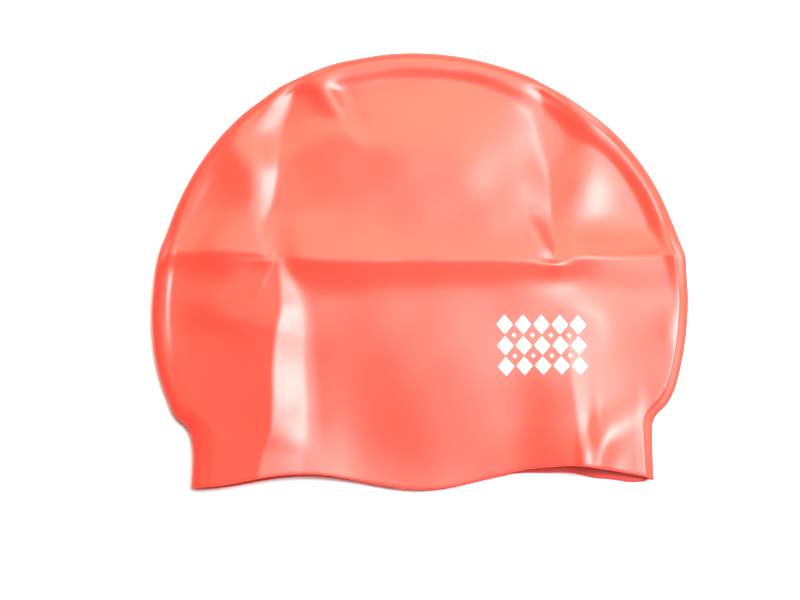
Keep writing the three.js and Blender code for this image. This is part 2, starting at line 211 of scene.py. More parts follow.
FOLDS = {
    "cross_ridge": Fold("x", tip=0.8, toe=4.0, hollow=(1, 1.6), rim=4, lifts=True, knots=(
        (-0.9786, 0.0493, 2.0, 5, 16),
        (-0.9097, 0.0521, 2.5, 6.5, 20),
        (-0.7632, 0.0528, 2.8, 7, 22),
        (-0.5881, 0.0461, 2.4, 7, 22),
        (-0.5321, 0.0323, 1.7, 8, 18),
        (-0.4462, 0.0163, 3.5, 9.5, 24),
        (0.0019, 0.0093, 4.0, 10, 28),
        (0.3752, 0.0071, 4.1, 10, 28),
        (0.4984, 0.0002, 4.1, 9, 22),
        (0.5802, 0.023, 4.2, 10, 22),
        (0.7097, 0.0295, 4.2, 12, 20),
        (0.8544, 0.0352, 4.2, 14, 18),
        (0.9683, 0.0363, 4.0, 14, 14),
    )),
    "faint_line": Fold("x", tip=0.5, toe=1.0, knots=(
        (0.5091, 0.0848, 0.0, 3.0, 4.0),
        (0.5798, 0.0985, 0.12, 3, 4),
        (0.7469, 0.1028, 0.16, 3, 4),
        (0.9076, 0.1063, 0.05, 3, 4),
    )),
    "left_crown_valley": Fold("y", tip=0.5, toe=7.0, hollow=(1.4, 1.6), rim=4, fade=3, knots=(
        (0.0505, -0.5694, -0.15, 3, 16),
        (0.1604, -0.587, -0.6, 4, 30),
        (0.27, -0.5555, -1.7, 7, 42),
        (0.4065, -0.534, -2.7, 11, 50),
        (0.5295, -0.5239, -3.1, 13, 50),
        (0.6585, -0.503, -3.2, 12, 44),
        (0.7526, -0.4712, -2.7, 11, 20),
        (0.817, -0.4538, -2.3, 9, 11),
        (0.8817, -0.4448, -1.9, 7, 8),
    )),
    "crown_pleat": Fold("y", tip=3.0, toe=3.5, rim=3, fade=3, knots=(
        (0.6695, -0.334, 0.0, 10, 9),
        (0.7423, -0.3419, 0.5, 10, 9),
        (0.8241, -0.3534, 1.2, 10, 9),
        (0.8874, -0.3536, 1.0, 10, 8),
        (0.9412, -0.3503, 0.6, 8, 7),
    )),
    "left_fan_inner": Fold("y", tip=0.4, toe=0.8, knots=(
        (-0.1759, -0.6145, 0.0, 2, 2),
        (-0.08, -0.5918, 0.35, 2, 1.8),
        (0.0162, -0.5546, 0.3, 2, 1.4),
    )),
    "left_fan_outer": Fold("y", tip=0.4, toe=0.8, knots=(
        (-0.1577, -0.6405, 0.0, 2, 2),
        (-0.0571, -0.6178, 0.3, 2, 1.8),
        (0.0071, -0.5808, 0.25, 2, 1.4),
    )),
    "left_crown_pleat": Fold("y", tip=0.3, toe=1.0, rim=4, knots=(
        (0.7149, -0.5855, 0.0, 2.5, 2),
        (0.7569, -0.5517, 0.35, 2.5, 2),
        (0.8115, -0.4957, 0.45, 2.5, 2),
        (0.861, -0.4505, 0.3, 2.5, 1.6),
    )),
    "right_crown_valley": Fold("y", tip=0.6, toe=5.0, hollow=(1.2, 1.3), rim=5, fade=3, knots=(
        (0.0161, 0.4946, -1.6, 5, 6),
        (0.1899, 0.4858, -2.4, 9, 9),
        (0.424, 0.4757, -3.0, 12, 12),
        (0.5985, 0.4652, -3.0, 13, 17),
        (0.736, 0.46, -2.9, 13, 24),
        (0.8184, 0.4592, -2.2, 8, 22),
        (0.8818, 0.4628, -1.2, 6, 16),
    )),
    "right_crown_shoulder": Fold("y", tip=4.0, toe=10.0, knots=(
        (0.0893, 0.4121, 0.0, 50, 8),
        (0.2495, 0.3885, 0.8, 54, 10),
        (0.419, 0.3644, 1.6, 56, 12),
        (0.5929, 0.3472, 1.9, 56, 13),
        (0.729, 0.3563, 1.6, 44, 12),
        (0.8111, 0.3921, 0.8, 30, 10),
        (0.8661, 0.4251, 0.3, 16, 8),
    )),
    "right_crown_crease": Fold("y", tip=0.6, toe=1.4, knots=(
        (0.007, 0.4983, 0.6, 4, 2.5),
        (0.071, 0.4719, 1.0, 5, 3),
        (0.1442, 0.4415, 0.9, 5, 3.2),
        (0.2358, 0.4147, 0.1, 5, 3.2),
    )),
    "left_mouth_ridge": Fold("y", tip=0.6, toe=2.0, hollow=(1.15, 1), fade=3, lifts=True, knots=(
        (-0.9862, -0.6133, 2.8, 32, 18),
        (-0.8551, -0.5958, 3.8, 38, 16),
        (-0.7731, -0.57, 4.7, 42, 15),
        (-0.6588, -0.5617, 5.1, 42, 14),
        (-0.5292, -0.5564, 5.0, 42, 13),
        (-0.4202, -0.5506, 4.8, 42, 12.4),
        (-0.3015, -0.537, 4.4, 40, 11.2),
        (-0.201, -0.5212, 3.7, 37, 9.5),
        (-0.1004, -0.5248, 2.5, 31, 6.8),
        (0.0003, -0.5323, 1.2, 22, 3.6),
    )),
    "right_mouth_ridge": Fold("y", tip=0.7, toe=6.0, hollow=(1.1, 1.5), fade=3, lifts=True, knots=(
        (-1.0219, 0.5893, 3.2, 20, 14),
        (-0.9388, 0.5781, 3.1, 20, 14),
        (-0.829, 0.5716, 2.9, 20, 18),
        (-0.7228, 0.5651, 2.3, 17, 24),
        (-0.5274, 0.5487, 1.6, 17, 26),
        (-0.3836, 0.5417, 1.0, 16, 26),
        (-0.2597, 0.5289, 0.4, 16, 22),
        (-0.1439, 0.5101, 0.0, 18, 14),
    )),
    "left_mouth_valley": Fold("y", tip=1.0, toe=4.0, hollow=(1, 1.1), fade=10, knots=(
        (-0.9659, -0.3671, -0.5, 12, 50),
        (-0.7746, -0.3786, -1.0, 12, 52),
        (-0.5922, -0.3878, -1.2, 12, 52),
        (-0.3634, -0.389, -0.9, 12, 50),
        (-0.1806, -0.4018, -0.2, 12, 44),
    )),
    "right_mouth_arc": Fold("x", tip=1.2, toe=4.0, knots=(
        (0.2635, -0.1439, 0.0, 12, 6),
        (0.3943, -0.1439, 0.5, 14, 6),
        (0.5027, -0.1668, 0.8, 14, 6),
        (0.5814, -0.2034, 0.8, 12, 6),
        (0.6452, -0.2407, 0.4, 10, 5),
        (0.7128, -0.2791, 0.0, 10, 5),
    )),
    "right_tail_pleat": Fold("x", tip=4.5, toe=3.5, hollow=(1.1, 1.1), rim=4, knots=(
        (0.6044, -0.9226, 1.5, 9, 8),
        (0.6601, -0.8603, 2.9, 10, 9),
        (0.7222, -0.8056, 2.2, 10, 9),
        (0.7827, -0.7598, 1.2, 9, 9),
        (0.8399, -0.7176, 0.1, 7, 7),
    )),
}

DENTS = {
    "left_crown_hump": Dent(at=(-0.6608, 0.5), size=(0.048, 0.07), turn=20, rise=2.8),
    "left_crown_top": Dent(at=(-0.5538, 0.7409), size=(0.024, 0.06), turn=-34, rise=1.2, rim=5),
    "right_crown_bump": Dent(at=(0.6094, 0.3917), size=(0.034, 0.055), turn=4, rise=1.1),
    "right_crown_shoulder": Dent(at=(0.6031, 0.7115), size=(0.06, 0.05), turn=-38, rise=2.2, rim=4),
    "right_cheek": Dent(at=(0.9147, -0.5222), size=(0.09, 0.16), rise=1.9, rim=3.2),
    "right_tail_hump": Dent(at=(0.627, -0.936), size=(0.062, 0.066), rise=0.6, rim=4),
    "crown_dome": Dent(at=(0.0387, 0.4756), size=(0.22, 0.22), rise=1.4),
    "mouth_dome": Dent(at=(0.1258, -0.5361), size=(0.2, 0.2), rise=1.3),
    "ridge_end": Dent(at=(0.5467, -0.0686), size=(0.045, 0.04), rise=-0.8),
    "right_rim_bump": Dent(at=(0.9486, -0.314), size=(0.03, 0.045), rise=0.9),
}

# The silicone's finish: scale and detail of its noises, the spread of its roughness, and the bumps
# of its skin in metres. The cloud mixes painted warm light into the colour, at random.
SILICONE_IOR = 1.5
WARM_LIGHT_CLOUD = {"scale": 18.0, "detail": 3.0}
MOTTLE = {"scale": 260.0, "detail": 4.0}
GLOSS_SPREAD = 0.04
BUMP_STRENGTH = 0.12
BUMP_HEIGHT = 0.00012

# The floor, in metres, and its finish.
FLOOR_HALF = 3.0
FLOOR_ROUGHNESS = 0.8
FLOOR_SPECULAR = 0.2

# The lamps look at the cap from one distance. Columns: the direction round it and the tilt from
# straight above in degrees, width and depth in metres, colour.
WHITE = (1.0, 1.0, 1.0)
WARM = (1.0, 0.84, 0.62)
LAMP_DISTANCE = 1.4
LAMPS = {
    "key": (18, 42, 0.6, 0.8, WHITE),
    "overhead": (25, 21, 1.0, 1.0, WHITE),
    "back": (95, 46, 1.3, 0.8, WARM),
}

# The camera: its sensor in millimetres, the rest in metres.
SENSOR_WIDTH = 36.0
CLIP_START = 0.05
CAMERA_AIM = (-0.0088, -0.01415, 0.003)


def ease(v):
    """A soft step from 0 at 0 to 1 at 1: three squares less two cubes."""
    v = np.clip(v, 0.0, 1.0)
    return v * v * (3.0 - 2.0 * v)


def rounded_abs(v, radius):
    """The size of v with a rounded tip at 0: its hypotenuse with the radius, less the radius."""
    return np.hypot(v, radius) - radius


def rounded_ramp(v, radius):
    """The larger of v and 0 with a rounded corner: the mean of v and its hypotenuse."""
    return (v + np.hypot(v, radius)) / 2.0


def gathered(u):
    """Even steps from 0 to 1 less a part of their sine, which draws them together at the ends."""
    return u - GATHER * np.sin(2 * np.pi * u) / (2 * np.pi)


def curve(knots, values, at):
    """A smooth curve through values at rising knots, level beyond both ends.

    Between two knots it is a cubic whose slopes at the knots are those of its neighbours.
    """
    knots, values = np.asarray(knots, float), np.asarray(values, float)
    slopes = np.gradient(values, knots)
    slopes[0] = slopes[-1] = 0.0
    at = np.clip(at, knots[0], knots[-1])
    i = np.clip(np.searchsorted(knots, at) - 1, 0, len(knots) - 2)
    step = knots[i + 1] - knots[i]
    u = (at - knots[i]) / step
    start = (1 + 2 * u) * (1 - u) ** 2 * values[i] + u * (1 - u) ** 2 * step * slopes[i]
    end = u * u * (3 - 2 * u) * values[i + 1] - u * u * (1 - u) * step * slopes[i + 1]
    return start + end


class CapForm:
    """The cap's shape as functions of a place in the plan, in millimetres."""

    def __init__(self, sizes):
        """The sizes in millimetres, and the middles of the outline's arcs.

        The cheek's circle touches the crown's from inside, at the angle where the cheek starts.
        The corner's circle touches the tail's line and, from outside, the cheek's circle.
        """
        self.width = sizes.width / MM
        self.wall = sizes.wall / MM
        self.rim_height = sizes.rim_height / MM
        self.middle_height = sizes.middle_height / MM
        self.layer_gap = sizes.layer_gap / MM
        self.least = 2 * self.wall + self.layer_gap
        self.half_width = self.width / 2
        self.crown_radius = self.half_width
        cheek_way = np.array([math.cos(CHEEK_START), math.sin(CHEEK_START)])
        self.cheek_centre = cheek_way * (self.crown_radius - CHEEK_RADIUS)
        self.neck_x = self.crown_radius - NECK_INSET
        fillet_x = self.neck_x + NECK_FILLET
        reach = CHEEK_RADIUS + NECK_FILLET
        drop = math.sqrt(reach ** 2 - (fillet_x - self.cheek_centre[0]) ** 2)
        self.fillet_centre = np.array([fillet_x, self.cheek_centre[1] - drop])
        way = self.fillet_centre - self.cheek_centre
        self.cheek_end = math.atan2(way[1], way[0])
        self.height = self.crown_radius - self.fillet_centre[1] + TAIL_LENGTH
        self.half_height = self.height / 2
        self.crown_y = self.half_height - self.crown_radius
        self.mouth_low = -self.half_height
        self.tail_top = self.mouth_low + TAIL_LENGTH

    def mouth_y(self, x):
        """The mouth's edge: a squared sine, low at the tails and in the middle."""
        return self.mouth_low + MOUTH_WAVE * np.sin(np.pi * x / (self.neck_x + TAIL_FLARE)) ** 2

    def near_mouth(self, x, y):
        """A soft step from 1 on the mouth's edge to 0 at the lobe's reach in from it."""
        return ease(1 - (y - self.mouth_y(x)) / LOBE_REACH)

    def side_x(self, y):
        """Half the outline's width: the crown's circle, the cheek, the hollow corner, the tail."""
        down = y - self.crown_y
        cheek, fillet = self.cheek_centre, self.fillet_centre
        crown_x = np.sqrt(np.maximum(self.crown_radius ** 2 - down ** 2, 0))
        cheek_x = cheek[0] + np.sqrt(np.maximum(CHEEK_RADIUS ** 2 - (down - cheek[1]) ** 2, 0))
        fillet_x = fillet[0] - np.sqrt(np.maximum(NECK_FILLET ** 2 - (down - fillet[1]) ** 2, 0))
        tail_x = self.neck_x + TAIL_FLARE * np.clip((self.tail_top - y) / TAIL_LENGTH, 0, 1)
        cheek_foot = cheek[1] + CHEEK_RADIUS * math.sin(self.cheek_end)
        x = np.where(down > fillet[1], fillet_x, tail_x)
        x = np.where(down > cheek_foot, cheek_x, x)
        return np.where(down > self.crown_radius * math.sin(CHEEK_START), crown_x, x)

    def depth(self, x, y):
        """How far a place lies inside the outline, the mouth left out.

        Over the crown that is the radius less the distance from its middle, below it the half
        width less the distance from the axis.
        """
        top = self.crown_radius - np.hypot(x, y - self.crown_y)
        side = self.side_x(np.maximum(y, self.mouth_low)) - np.abs(x)
        return np.where(y > self.crown_y, top, side)

    def settle(self, x, y):
        """A place of the moulded plan moved to where it lies on the floor.

        The crown leans left and its shoulders fill out with the square of the way up, the tails
        shift right and the right one is drawn up. Then the place is pushed from the crown's middle
        by the outline's table times a power of its share of the radius, and near the mouth it is
        drawn up or down by the edge's table.
        """
        at, edge = np.array(MOUTH_EDGE, float).T
        drawn = curve(at, edge, x / self.half_width) * self.near_mouth(x, y)
        up = np.maximum(0, y - self.crown_y) / self.crown_radius
        lean = CROWN_LEAN * ease((up - LEAN_FROM) / LEAN_SPAN)
        fuller = 1 + SHOULDER_FULLNESS / self.half_width * up ** 2
        down = ease((self.crown_y - y) / (self.crown_y - self.tail_top))
        right = ease(x / (self.neck_x / 2))
        x, y = x * fuller - lean + TAIL_SHIFT * down, y + RIGHT_PULL * right * down
        angle, out = np.array(OUTLINE, float).T
        turn = self.turn(x, y)
        away = np.hypot(x, y - self.crown_y) / self.crown_radius
        push = curve(angle, out, turn) * away ** OUTLINE_POWER / self.crown_radius
        return x + push * x, y + push * (y - self.crown_y) + drawn

    def slip(self, x, y):
        """How far the lower face lies out in front of the upper one: the table, near the mouth."""
        at, out = np.array(LOWER_EDGE, float).T
        return curve(at, out, x / self.half_width) * self.near_mouth(x, y)

    def lying(self, x, y, z):
        """Points of the upper face: places of the moulded plan, settled, with their heights."""
        return np.stack([*self.settle(x, y), z], -1)

    def lying_low(self, x, y, z, share=1.0):
        """Points of the lower face: the same, moved out at the mouth by a share of the slip."""
        return self.lying(x, y - share * self.slip(x, y), z)

    def fold(self, fold, x, y):
        """One fold: a tent across its line, whose widths and rise change along it.

        The line runs along x or y through its knots. The flanks fall from a rounded crest to a
        rounded foot, one towards the lower side of the other axis and one towards the higher side.
        A power above 1 hollows a flank.
        """
        u, v = x / self.half_width, y / self.half_height
        along, across = (u, y) if fold.axis == "x" else (v, x)
        scale, other = self.half_width, self.half_height
        if fold.axis == "y":
            scale, other = other, scale
        at, line, rise, low, high = np.array(fold.knots, float).T
        place = curve(at, line * other, along)
        ahead = curve(at, line * other, along + LOOK_AHEAD)
        lean = (ahead - place) / (LOOK_AHEAD * scale)
        aside = (across - place) / np.hypot(1, lean)
        flank = np.where(aside > 0, curve(at, high, along), curve(at, low, along))
        toe = np.minimum(fold.toe, flank / 2)
        tent = rounded_ramp(flank - rounded_abs(aside, fold.tip), toe) / rounded_ramp(flank, toe)
        tent = tent ** np.where(aside > 0, fold.hollow[1], fold.hollow[0])
        past = np.maximum(at[0] - along, along - at[-1]) * scale
        return curve(at, rise, along) * tent * (1 - ease(past / fold.fade))

    def dent(self, dent, x, y):
        """A soft oval swelling or dent: a bell over the distance from its middle."""
        cx, cy = dent.at[0] * self.half_width, dent.at[1] * self.half_height
        turn = math.radians(dent.turn)
        u = ((x - cx) * math.cos(turn) + (y - cy) * math.sin(turn)) / (dent.size[0] * self.width)
        v = ((y - cy) * math.cos(turn) - (x - cx) * math.sin(turn)) / (dent.size[1] * self.width)
        return dent.rise * np.exp(-(u * u + v * v))

    def bend_power(self, x, y):
        """How full the rim's section is, by direction: 1 is a straight bevel, 2 half an oval."""
        rim = np.array(RIM, float).T
        return curve(rim[0], rim[-1], self.turn(x, y))

    def turn(self, x, y):
        """The direction of a place from the crown's middle, in degrees from -90 to 270."""
        return (np.degrees(np.arctan2(y - self.crown_y, x)) + 90) % 360 - 90

    def face(self, x, y):
        """The upper face without its folds: rim, groove and swell.

        From the outline in: the upper half of the bend's section, whose power makes it a bevel or
        an oval, then a soft step down into the groove behind it, and a soft rise to the middle.
        The rim's table says where and how much, by the direction from the crown's middle. The
        middle lobe of the mouth is held down by a bell in y over a flat topped bump in x.
        """
        depth, turn = self.depth(x, y), self.turn(x, y)
        angle, step, foot, groove, swell_from, swell_reach, _ = np.array(RIM, float).T
        foot, groove = curve(angle, foot, turn), curve(angle, groove, turn)
        start, reach = curve(angle, swell_from, turn), curve(angle, swell_reach, turn)
        half = self.rim_height / 2
        out = 1 - np.clip(depth / BEND_WIDTH, 0, 1)
        power = self.bend_power(x, y)
        crest = half + half * np.maximum(1 - out ** power, 0) ** (1 / power)
        swell = ease((depth - start) / reach)
        drop = curve(angle, step, turn) * ease((depth - foot) / (groove - foot)) * (1 - swell)
        near_mouth = np.exp(-(((y - self.mouth_y(x)) / LOBE_REACH) ** 2))
        lobe = near_mouth / (1 + (2 * (x - LOBE_SHIFT) / LOBE_WIDTH) ** LOBE_POWER)
        middle = self.middle_height - (self.middle_height - self.least) * lobe
        return crest - drop + swell * (middle - self.rim_height)

    def lower(self, x, y):
        """The lower face: flat on the floor, lifted a little under the ridges of the folds.

        The lift grows with what the folds that lift rise over a share of the ridge's rise, and
        eases in from the outline and from the mouth.
        """
        ridges = sum(self.fold(f, x, y) for f in FOLDS.values() if f.lifts) / RIDGE_RISE
        inward = ease((y - self.mouth_y(x)) / LOBE_REACH)
        lift = LOWER_LIFT * np.maximum(0, ridges - LIFT_FROM)
        return lift * ease(self.depth(x, y) / LIFT_REACH) * inward

    def folds_near_rim(self, x, y):
        """All folds and dents, each of which fades out towards the outline."""
        inside = self.depth(x, y) - FOLD_FROM
        shape = sum(self.fold(f, x, y) * ease(inside / f.rim) for f in FOLDS.values())
        return shape + sum(self.dent(d, x, y) * ease(inside / d.rim) for d in DENTS.values())

    def ripple(self, x, y):
        """The faint unevenness of thin rubber: the sum of three crossing sine waves."""
        waves = sum(np.sin((x * math.cos(way) + y * math.sin(way)) * 2 * np.pi / length + start)
                    for way, length, start in RIPPLES)
        return RIPPLE_HEIGHT * waves

    def upper(self, x, y):
        """The upper face with its folds, which stays clear of the lower one.

        Behind the bend it is the larger of the wanted height and the least one, with a rounded
        corner between the two.
        """
        clear = ease((self.depth(x, y) - BEND_WIDTH) / BEND_WIDTH)
        floor = self.least + self.lower(x, y)
        wanted = self.face(x, y) + self.folds_near_rim(x, y) + clear * self.ripple(x, y)
        kept = floor + rounded_ramp(wanted - floor, self.layer_gap)
        return wanted + clear * (kept - wanted)


class CapGrid:
    """Places in the plan: the side's rows, the columns between the rims, and the mouth's edge."""

    def __init__(self, form):
        self.form = form
        self.rows()
        self.columns()

    def rows(self):
        """The right side from the mouth up to the crown's corner: a place, the way in, the tail.

        The tail's rows have even steps in y. Round an arc a row is the middle plus the radius times
        its direction, and the way in is that direction, towards the inside. The tail is a share,
        1 at the mouth and 0 from the tail's top on.
        """
        form = self.form
        fold_angle = math.asin(-form.crown_y / form.crown_radius)
        crown = np.zeros(2)
        tail_share = np.linspace(0, 1, ROWS["tail"] + 1)
        tail_y = form.mouth_low + TAIL_LENGTH * tail_share
        at = [np.stack([form.side_x(tail_y), tail_y], -1)]
        inward = [np.tile([-1.0, 0.0], (len(tail_y), 1))]
        arcs = (
            (form.fillet_centre, NECK_FILLET, math.pi, math.pi + form.cheek_end, "fillet", 1),
            (form.cheek_centre, CHEEK_RADIUS, form.cheek_end, CHEEK_START, "cheek", -1),
            (crown, form.crown_radius, CHEEK_START, fold_angle, "side", -1),
            (crown, form.crown_radius, fold_angle, math.pi - CROWN_CORNER, "crown", -1),
        )
        for centre, radius, start, end, name, way in arcs:
            share = np.linspace(0, 1, ROWS[name] + 1)[1:]
            share = gathered(share) if name == "crown" else share
            angle = start + (end - start) * share
            out = np.stack([np.cos(angle), np.sin(angle)], -1)
            at.append(centre + radius * out + [0, form.crown_y])
            inward.append(way * out)
        self.at = np.concatenate(at)
        self.inward = np.concatenate(inward)
        self.tail = np.zeros(len(self.at))
        self.tail[: len(tail_y)] = 1 - tail_share
        self.fold_row = len(self.at) - 1 - ROWS["crown"]

    def side(self, inside, mirror):
        """Places a given distance in from the outline, for all rows of one side.

        In the tails the rows bend, to end on the mouth's edge.
        """
        form = self.form
        inside = np.broadcast_to(inside, (len(self.at), np.shape(inside)[-1]))
        place = self.at[:, None] + self.inward[:, None] * inside[..., None]
        x = place[..., 0] * mirror
        tail = self.tail[:, None]
        in_tail = form.tail_top + (form.mouth_y(x) - form.tail_top) * tail
        return x, np.where(tail > 0, in_tail, place[..., 1])

    def columns(self):
        """The column lines: x at the mouth and at the fold, and the angle at the crown.

        They lie between the stops by gathered steps. The pull is a share for each side, 1 on it and
        0 from the next stop on.
        """
        form = self.form
        band_radius = form.crown_radius - BAND_WIDTH
        edge_x, _ = self.side([BAND_WIDTH], 1)
        mouth_x, fold_x = edge_x[0, 0], edge_x[self.fold_row, 0]
        half = form.half_width
        inner = [(s["mouth"] * half, s["fold"] * half, math.acos(s["crown"] * half / band_radius))
                 for s in COLUMN_STOPS]
        stops = np.array([(-mouth_x, -fold_x, CROWN_CORNER), *inner,
                          (mouth_x, fold_x, math.pi - CROWN_CORNER)])
        lines, left, right = [], [], []
        for span, count in enumerate(SPAN_COLUMNS):
            u = gathered(np.linspace(0, 1, count + 1))[0 if span == 0 else 1:]
            lines.append(stops[span] + (stops[span + 1] - stops[span]) * u[:, None])
            left.append(1 - u if span == 0 else 0 * u)
            right.append(u if span == len(SPAN_COLUMNS) - 1 else 0 * u)
        self.mouth_x, self.fold_x, self.crown_angle = np.concatenate(lines).T
        self.pull = np.concatenate(left), np.concatenate(right)

    def face(self):
        """The plan of a face inside the band: rows by columns.

        Straight columns run from the mouth to the fold and on to the crown. Near each side they
        are bent to follow the rim, by the side's distance from its chord times the pull.
        """
        form = self.form
        edges = [np.stack(self.side([BAND_WIDTH], m), -1)[:, 0] for m in (-1, 1)]
        count = len(self.at)
        row = np.arange(count)
        low = np.where(row <= self.fold_row, 0, self.fold_row)
        high = np.where(row <= self.fold_row, self.fold_row, count - 1)
        y = edges[0][:, 1]
        up = ((y - y[low]) / (y[high] - y[low]))[:, None, None]
        fold_y = y[self.fold_row]
        mouth = np.stack([self.mouth_x, form.mouth_y(self.mouth_x)], -1)
        fold = np.stack([self.fold_x, np.full_like(self.fold_x, fold_y)], -1)
        crown_way = np.stack([np.cos(self.crown_angle), np.sin(self.crown_angle)], -1)
        crown = crown_way * (form.crown_radius - BAND_WIDTH) + [0, form.crown_y]
        below = (row <= self.fold_row)[:, None, None]
        start = np.where(below, mouth, fold)
        end = np.where(below, fold, crown)
        plan = start + (end - start) * up
        for edge, pull in zip(edges, self.pull):
            chord = edge[low] + (edge[high] - edge[low]) * up[:, 0]
            plan = plan + (edge - chord)[:, None] * pull[None, :, None]
        return plan[..., 0], plan[..., 1]

    def round_rim(self, inside):
        """Places round the rim, from the left tail over the crown to the right tail.

        The distances in from the outline are one row for all places, or a row for each.
        """
        form = self.form
        angle = self.crown_angle[1:-1][:, None]
        rows = len(self.at)
        inside = np.broadcast_to(inside, (2 * rows + len(angle), np.shape(inside)[-1]))
        radius = form.crown_radius - inside[rows:-rows]
        top_x, top_y = radius * np.cos(angle), form.crown_y + radius * np.sin(angle)
        left, right = self.side(inside[:rows], -1), self.side(inside[-rows:][::-1], 1)
        x = np.concatenate([left[0], top_x, right[0][::-1]])
        y = np.concatenate([left[1], top_y, right[1][::-1]])
        return x, y


def rim_section(form, grid, thickness):
    """The skin all round the rim, a given thickness in from its outside.

    Each place has the upper face's band, the bend and the lower face's band. The bend's section
    is the curve on which a power of the way out and the same power of the way up add to 1, and
    its upper half carries the folds with the sine of the angle.
    """
    half = form.rim_height / 2
    band = np.linspace(BAND_WIDTH, BEND_WIDTH, BAND_STEPS)
    angle = np.linspace(math.pi / 2, -math.pi / 2, 2 * BEND_STEPS + 1)
    x, y = grid.round_rim(band)
    upper = form.lying(x, y, form.upper(x, y) - thickness)

    power = form.bend_power(*grid.round_rim([0.0]))
    out = np.abs(np.cos(angle)) ** (2 / power)
    up = np.sign(angle) * np.abs(np.sin(angle)) ** (2 / power)
    x, y = grid.round_rim(BEND_WIDTH - (BEND_WIDTH - thickness) * out)
    level = half + (half - thickness) * up
    level = level + np.where(angle > 0, np.sin(angle), 0) * form.folds_near_rim(x, y)
    bend = form.lying_low(x, y, level, np.maximum(0, -np.sin(angle)))

    x, y = grid.round_rim(band[::-1])
    lower = form.lying_low(x, y, form.lower(x, y) + thickness)
    return np.concatenate([upper[:, :-1], bend, lower[:, 1:]], 1)


def rings(grid, height, count, put):
    """A face as rings: the loop along the band and the mouth, times shares from 1 down to 0."""
    loops = [np.concatenate([rim[:, 0], mouth[0][::-1][1:-1]])
             for rim, mouth in zip(grid.round_rim([BAND_WIDTH]), grid.face())]
    share = np.linspace(1, 0, count + 1)[:, None]
    x, y = (np.append(loop, loop[0]) * share for loop in loops)
    return put(x, y, height(x, y))


def mouth_lip(form, grid):
    """The rounded edge of the mouth: half a turn from the outer skin to the inner one.

    Each point is the middle between the two, plus half their distance times the sine of the
    angle, plus as much outwards times its cosine.
    """
    x, y = (v[0] for v in grid.face())

    def loop(thickness):
        section = rim_section(form, grid, thickness)
        upper = form.lying(x, y, form.upper(x, y) - thickness)
        lower = form.lying_low(x, y, form.lower(x, y) + thickness)
        return np.concatenate([upper[:-1], section[-1][:-1], lower[::-1][:-1], section[0][::-1]])

    outer, inner = loop(0.0), loop(form.wall)
    middle, half = (outer + inner) / 2, (outer - inner) / 2
    reach = np.linalg.norm(half, axis=-1)
    turn = np.linspace(math.pi / 2, -math.pi / 2, LIP_STEPS)[:, None, None]
    outwards = np.zeros_like(middle)
    outwards[:, 1] = -reach
    return middle + half * np.sin(turn) + outwards * np.cos(turn)


def skin_patches(form, grid):
    """The skin as patches that share their edges: grids of points, and whether each is flipped.

    Outside: the upper face, the rim's section, the lower face. Inside: the same, one wall in.
    The faces that are hardly seen are rings that shrink towards a middle.
    """
    wall = form.wall
    face_x, face_y = grid.face()
    return [
        (form.lying(face_x, face_y, form.upper(face_x, face_y)), False),
        (rim_section(form, grid, 0.0), False),
        (rings(grid, form.lower, LOWER_RINGS, form.lying_low), True),
        (rings(grid, lambda x, y: form.upper(x, y) - wall, INNER_RINGS, form.lying), True),
        (rim_section(form, grid, wall), True),
        (rings(grid, lambda x, y: form.lower(x, y) + wall, LOWER_RINGS, form.lying_low), False),
        (mouth_lip(form, grid), False),
    ]


def join_patches(name, patches):
    """One mesh from grids of points in millimetres, welded where they meet."""
    points, faces, count = [], [], 0
    for patch, flipped in patches:
        rows, columns = patch.shape[:2]
        index = np.arange(rows * columns).reshape(rows, columns) + count
        quads = np.stack([index[:-1, :-1], index[:-1, 1:], index[1:, 1:], index[1:, :-1]], -1)
        quads = quads.reshape(-1, 4)
        faces.append(quads[:, ::-1] if flipped else quads)
        points.append(patch.reshape(-1, 3))
        count += rows * columns
    mesh = bpy.data.meshes.new(name)
    mesh.from_pydata((np.concatenate(points) * MM).tolist(), [], np.concatenate(faces).tolist())
    work = bmesh.new()
    work.from_mesh(mesh)
    bmesh.ops.remove_doubles(work, verts=work.verts, dist=WELD * MM)
    bmesh.ops.recalc_face_normals(work, faces=work.faces)
    work.to_mesh(mesh)
    work.free()
    mesh.shade_smooth()
    return mesh


def add_piece(name, mesh, material):
    """An object at the origin that shows a mesh, on the cap's only body."""
    piece = bpy.data.objects.new(name, mesh)
    bpy.context.collection.objects.link(piece)
    mesh.materials.append(material)
    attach(piece, "root")
    return piece


def lozenge(form, x, y, width, height):
    """One lozenge of ink on the upper face, as patches: top, underside and four edges.

    Its grid runs along its sides, so a place is the middle plus (s - t) / 2 of its width across
    and (s + t) / 2 of its height up, with s and t each from -1/2 to 1/2.
    """
    share = np.linspace(-0.5, 0.5, PRINT_CELLS + 1)
    s, t = np.meshgrid(share, share, indexing="ij")
    across, up = x + (s - t) * width / 2, y + (s + t) * height / 2
    skin = form.upper(across, up)
    top = form.lying(across, up, skin + PRINT_RAISE)
    under = form.lying(across, up, skin - PRINT_SINK)
    sides = np.s_[0], np.s_[-1], np.s_[:, 0], np.s_[:, -1]
    edges = [np.stack([top[side], under[side]]) for side in sides]
    return [(patch, False) for patch in (top, under, *edges)]


